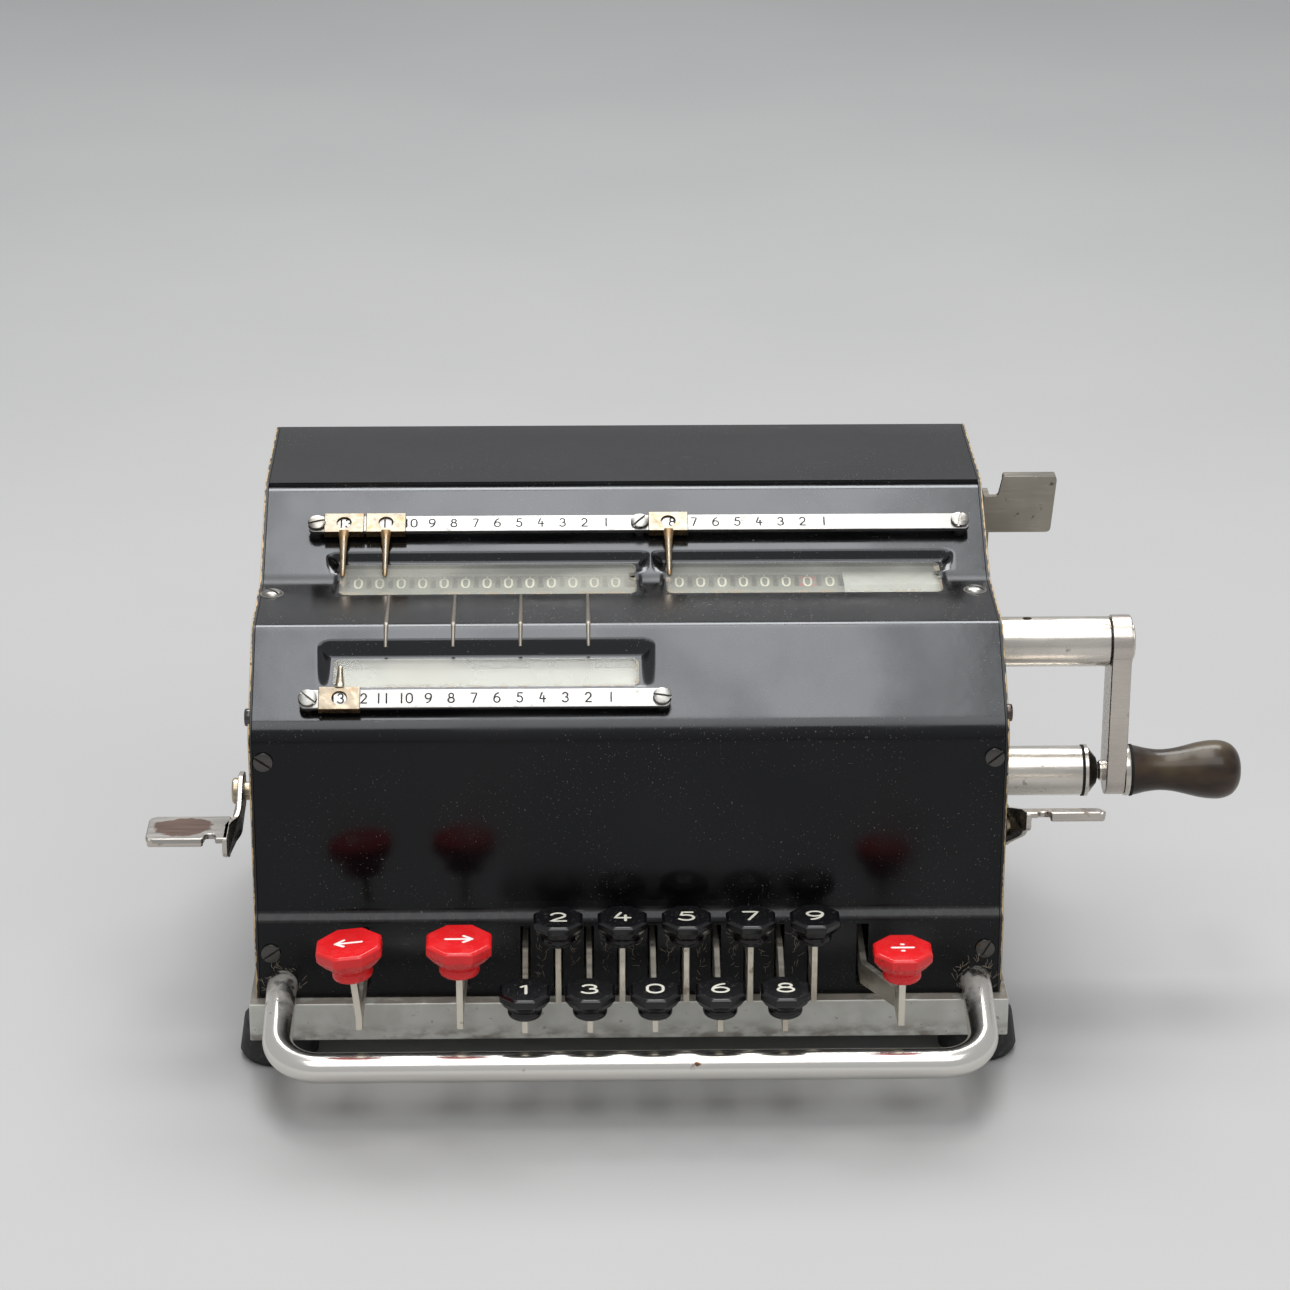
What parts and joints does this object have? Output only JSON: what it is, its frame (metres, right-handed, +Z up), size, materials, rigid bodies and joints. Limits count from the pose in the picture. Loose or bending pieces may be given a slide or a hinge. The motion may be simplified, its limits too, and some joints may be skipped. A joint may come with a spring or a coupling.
{
  "type": "mechanical adding machine",
  "caption": "Desk adding machine in a black lacquered case, with octagonal keys, sliding decimal markers, clearing levers, a side crank and a bent-rod handle.",
  "frame": {"origin": "middle of the bottom of the bounding box, on the table under the four feet", "axes": "+X to the operator's right, along the crank; +Y to the back; +Z up. The keys face -Y."},
  "size_m": [0.3402, 0.2025, 0.1505],
  "materials": {
    "lacquer": "glossy black lacquer, dusty and scratched",
    "window_glass": "slightly dusty clear pane",
    "nickel": "worn nickel plate with fine scratches",
    "worn_brass": "plating worn through to brass",
    "raw_steel": "bare steel with dirt",
    "foot_rubber": "matte black rubber",
    "black_key": "black moulded key, dusty on top",
    "red_key": "bright red moulded key",
    "horn": "polished dark brown horn-like plastic",
    "gear_brass": "plain brass",
    "dial_paint": "grey-green paint"
  },
  "bodies": {
    "chassis": {"front_cover": "lacquer", "rear_cover": "lacquer", "left_side_cover": "lacquer", "right_side_cover": "lacquer", "result_window": "window_glass", "counter_window": "window_glass", "setting_window": "window_glass", "upper_scale_bar": "nickel", "lower_scale_bar": "nickel", "carry_handle": "nickel", "crank_bearing_tube": "nickel", "crank_rest_post": "nickel", "base_tray": "raw_steel", "left_frame_plate": "raw_steel", "right_frame_plate": "raw_steel", "bearing_plate": "raw_steel", "rear_tie_rod": "raw_steel", "key_pivot_rod": "raw_steel", "dial_shaft": "raw_steel", "key_spring_comb": "raw_steel", "front_left_foot": "foot_rubber", "front_right_foot": "foot_rubber", "rear_left_foot": "foot_rubber", "rear_right_foot": "foot_rubber", "bell": "gear_brass", "result_dials": "dial_paint", "counter_dials": "dial_paint", "setting_shutter": "dial_paint"},
    "crank": {"crank_shaft": "nickel", "crank_arm": "nickel", "crank_gear": "gear_brass", "grip_spindle": "nickel"},
    "grip": {"crank_grip": "horn"},
    "rotor": {"rotor_shaft": "nickel", "rotor_gear": "gear_brass"},
    "pinwheels": {"pinwheel_rotor": "gear_brass"},
    "counter_units": {"counter_units_dial": "dial_paint"},
    "left_clearing": {"left_clearing_lever": "nickel"},
    "lower_right_clearing": {"lower_right_clearing_lever": "nickel"},
    "upper_right_clearing": {"upper_right_clearing_lever": "nickel"},
    "key_1": {"key_1": "black_key"},
    "key_3": {"key_3": "black_key"},
    "key_0": {"key_0": "black_key"},
    "key_6": {"key_6": "black_key"},
    "key_8": {"key_8": "black_key"},
    "key_2": {"key_2": "black_key"},
    "key_4": {"key_4": "black_key"},
    "key_5": {"key_5": "black_key"},
    "key_7": {"key_7": "black_key"},
    "key_9": {"key_9": "black_key"},
    "shift_left": {"shift_left_lever": "nickel", "shift_left_cap": "red_key"},
    "shift_right": {"shift_right_lever": "nickel", "shift_right_cap": "red_key"},
    "division": {"division_lever": "nickel", "division_cap": "red_key"},
    "marker_1": {"decimal_marker_1": "worn_brass"},
    "marker_2": {"decimal_marker_2": "worn_brass"},
    "marker_3": {"decimal_marker_3": "worn_brass"},
    "marker_4": {"decimal_marker_4": "worn_brass"}
  },
  "joints": [
    {"name": "crank_turn", "type": "hinge", "parent": "chassis", "child": "crank", "pos_m": [0.1269, 0.01425, 0.1067], "axis": [1, 0, 0], "continuous": true},
    {"name": "grip_spin", "type": "hinge", "parent": "crank", "child": "grip", "pos_m": [0.1514, 0.01425, 0.0631], "axis": [1, 0, 0], "continuous": true},
    {"name": "rotor_turn", "type": "hinge", "parent": "chassis", "child": "rotor", "pos_m": [-0.0236, 0.00625, 0.0757], "axis": [1, 0, 0], "continuous": true},
    {"name": "pinwheel_shift", "type": "slide", "parent": "rotor", "child": "pinwheels", "axis": [1, 0, 0], "range_m": [-0.08, 0]},
    {"name": "counter_units_turn", "type": "hinge", "parent": "chassis", "child": "counter_units", "pos_m": [0.0394, 0.01725, 0.1185], "axis": [1, 0, 0], "continuous": true},
    {"name": "left_clearing_press", "type": "hinge", "parent": "chassis", "child": "left_clearing", "pos_m": [-0.0236, 0.00425, 0.0623], "axis": [1, 0, 0], "range_deg": [0, 40], "stiffness_Nm_per_rad": 0.3, "springref_deg": -17.19},
    {"name": "lower_right_clearing_press", "type": "hinge", "parent": "chassis", "child": "lower_right_clearing", "pos_m": [-0.0236, -0.00775, 0.055], "axis": [1, 0, 0], "range_deg": [0, 35], "stiffness_Nm_per_rad": 0.3, "springref_deg": -17.19},
    {"name": "upper_right_clearing_pull", "type": "hinge", "parent": "chassis", "child": "upper_right_clearing", "pos_m": [-0.0236, 0.05625, 0.105], "axis": [1, 0, 0], "range_deg": [0, 40], "stiffness_Nm_per_rad": 0.3, "springref_deg": -17.19},
    {"name": "key_1_press", "type": "hinge", "parent": "chassis", "child": "key_1", "pos_m": [-0.0236, -0.02775, 0.033], "axis": [1, 0, 0], "range_deg": [0, 4.5], "stiffness_Nm_per_rad": 0.6, "springref_deg": -8.59},
    {"name": "key_3_press", "type": "hinge", "parent": "chassis", "child": "key_3", "pos_m": [-0.0236, -0.02775, 0.033], "axis": [1, 0, 0], "range_deg": [0, 4.5], "stiffness_Nm_per_rad": 0.6, "springref_deg": -8.59},
    {"name": "key_0_press", "type": "hinge", "parent": "chassis", "child": "key_0", "pos_m": [-0.0236, -0.02775, 0.033], "axis": [1, 0, 0], "range_deg": [0, 4.5], "stiffness_Nm_per_rad": 0.6, "springref_deg": -8.59},
    {"name": "key_6_press", "type": "hinge", "parent": "chassis", "child": "key_6", "pos_m": [-0.0236, -0.02775, 0.033], "axis": [1, 0, 0], "range_deg": [0, 4.5], "stiffness_Nm_per_rad": 0.6, "springref_deg": -8.59},
    {"name": "key_8_press", "type": "hinge", "parent": "chassis", "child": "key_8", "pos_m": [-0.0236, -0.02775, 0.033], "axis": [1, 0, 0], "range_deg": [0, 4.5], "stiffness_Nm_per_rad": 0.6, "springref_deg": -8.59},
    {"name": "key_2_press", "type": "hinge", "parent": "chassis", "child": "key_2", "pos_m": [-0.0236, -0.02775, 0.033], "axis": [1, 0, 0], "range_deg": [0, 5.5], "stiffness_Nm_per_rad": 0.6, "springref_deg": -8.59},
    {"name": "key_4_press", "type": "hinge", "parent": "chassis", "child": "key_4", "pos_m": [-0.0236, -0.02775, 0.033], "axis": [1, 0, 0], "range_deg": [0, 5.5], "stiffness_Nm_per_rad": 0.6, "springref_deg": -8.59},
    {"name": "key_5_press", "type": "hinge", "parent": "chassis", "child": "key_5", "pos_m": [-0.0236, -0.02775, 0.033], "axis": [1, 0, 0], "range_deg": [0, 5.5], "stiffness_Nm_per_rad": 0.6, "springref_deg": -8.59},
    {"name": "key_7_press", "type": "hinge", "parent": "chassis", "child": "key_7", "pos_m": [-0.0236, -0.02775, 0.033], "axis": [1, 0, 0], "range_deg": [0, 5.5], "stiffness_Nm_per_rad": 0.6, "springref_deg": -8.59},
    {"name": "key_9_press", "type": "hinge", "parent": "chassis", "child": "key_9", "pos_m": [-0.0236, -0.02775, 0.033], "axis": [1, 0, 0], "range_deg": [0, 5.5], "stiffness_Nm_per_rad": 0.6, "springref_deg": -8.59},
    {"name": "shift_left_press", "type": "hinge", "parent": "chassis", "child": "shift_left", "pos_m": [-0.0236, -0.02775, 0.033], "axis": [1, 0, 0], "range_deg": [0, 4.5], "stiffness_Nm_per_rad": 0.6, "springref_deg": -8.59},
    {"name": "shift_right_press", "type": "hinge", "parent": "chassis", "child": "shift_right", "pos_m": [-0.0236, -0.02775, 0.033], "axis": [1, 0, 0], "range_deg": [0, 4.5], "stiffness_Nm_per_rad": 0.6, "springref_deg": -8.59},
    {"name": "division_press", "type": "hinge", "parent": "chassis", "child": "division", "pos_m": [-0.0236, -0.02775, 0.033], "axis": [1, 0, 0], "range_deg": [0, 4.5], "stiffness_Nm_per_rad": 0.6, "springref_deg": -8.59},
    {"name": "marker_1_slide", "type": "slide", "parent": "chassis", "child": "marker_1", "axis": [1, 0, 0], "range_m": [0, 0.066]},
    {"name": "marker_2_slide", "type": "slide", "parent": "chassis", "child": "marker_2", "axis": [1, 0, 0], "range_m": [0, 0.066]},
    {"name": "marker_3_slide", "type": "slide", "parent": "chassis", "child": "marker_3", "axis": [1, 0, 0], "range_m": [0, 0.08]},
    {"name": "marker_4_slide", "type": "slide", "parent": "chassis", "child": "marker_4", "axis": [1, 0, 0], "range_m": [0, 0.079]}
  ],
  "couplings": [
    {"joint": "rotor_turn", "follows": "crank_turn", "ratio": -1},
    {"joint": "counter_units_turn", "follows": "crank_turn", "ratio": 0.1},
    {"joint": "marker_1_slide", "follows": "marker_2_slide", "ratio": 1}
  ]
}
